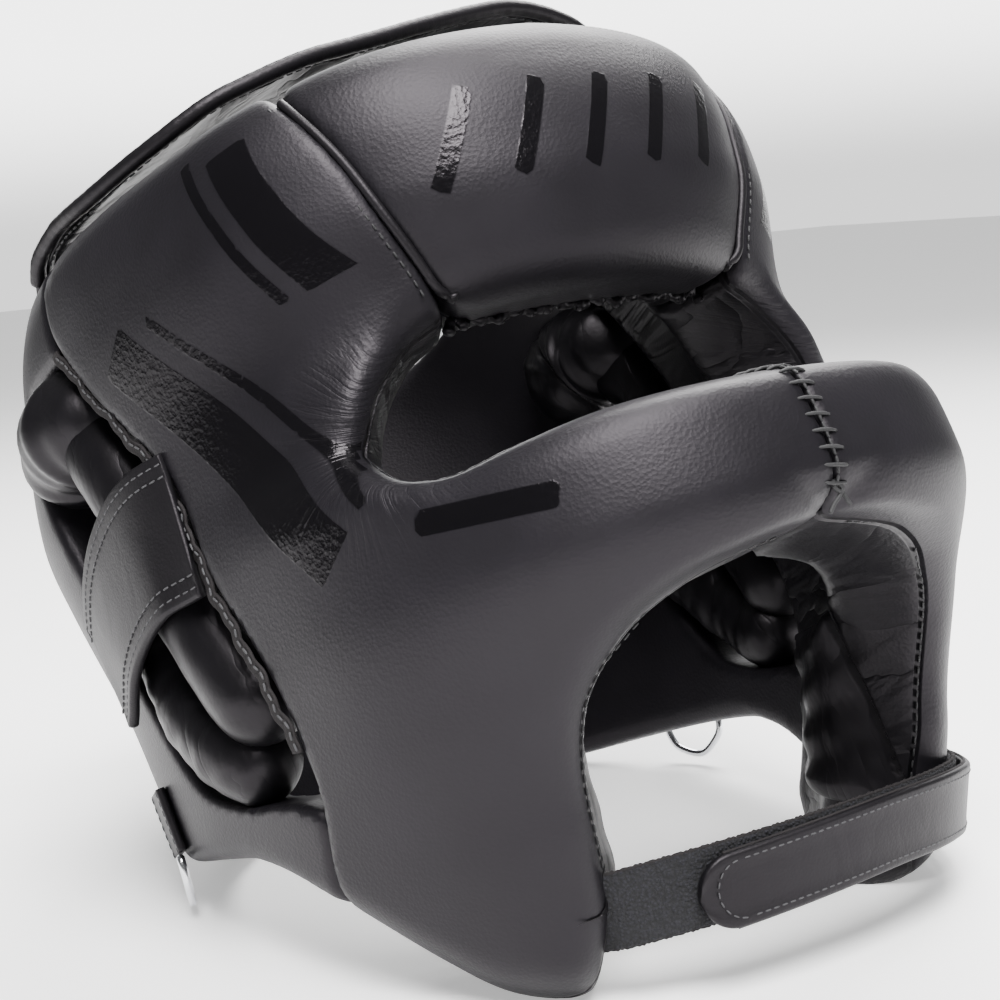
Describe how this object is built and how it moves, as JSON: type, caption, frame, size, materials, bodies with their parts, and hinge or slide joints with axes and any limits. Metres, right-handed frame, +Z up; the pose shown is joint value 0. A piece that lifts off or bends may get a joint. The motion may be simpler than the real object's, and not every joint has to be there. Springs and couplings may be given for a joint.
{
  "type": "boxing headgear with face bar",
  "caption": "Padded leather boxing headgear with a closed face bar, open eye and mouth areas, rolled ear openings, a crown band and a fastened chin strap.",
  "frame": {"origin": "on the surface that the headgear rests on, under the middle of its bounding box", "axes": "+Z up from that surface, the face looks along -Y, +X is the wearer's left"},
  "size_m": [0.2382, 0.3224, 0.2721],
  "materials": {
    "matte_leather": "matte, fine grain",
    "smooth_leather": "satin, soft folds",
    "trim_leather": "satin",
    "loop_pile": "loop pile",
    "chrome": "polished"
  },
  "bodies": {
    "root": {"forehead_pad": "matte_leather", "side_panel_right": "matte_leather", "side_panel_left": "matte_leather", "rear_panel_right": "matte_leather", "rear_panel_left": "matte_leather", "ear_front_roll_right": "smooth_leather", "ear_front_roll_left": "smooth_leather", "ear_rear_roll_right": "smooth_leather", "ear_rear_roll_left": "smooth_leather", "ear_cover_right": "smooth_leather", "ear_cover_left": "smooth_leather", "cheek_lining_right": "smooth_leather", "cheek_lining_left": "smooth_leather", "crown_band": "smooth_leather", "brow_piping_right": "trim_leather", "brow_piping_left": "trim_leather", "crown_binding": "trim_leather", "ear_band_right": "trim_leather", "ear_band_left": "trim_leather", "ring_tab_right": "trim_leather", "ring_tab_left": "trim_leather", "chin_tab": "trim_leather", "nape_strap": "trim_leather", "chin_strap": "loop_pile", "ring_right": "chrome", "ring_left": "chrome"}
  },
  "joints": []
}
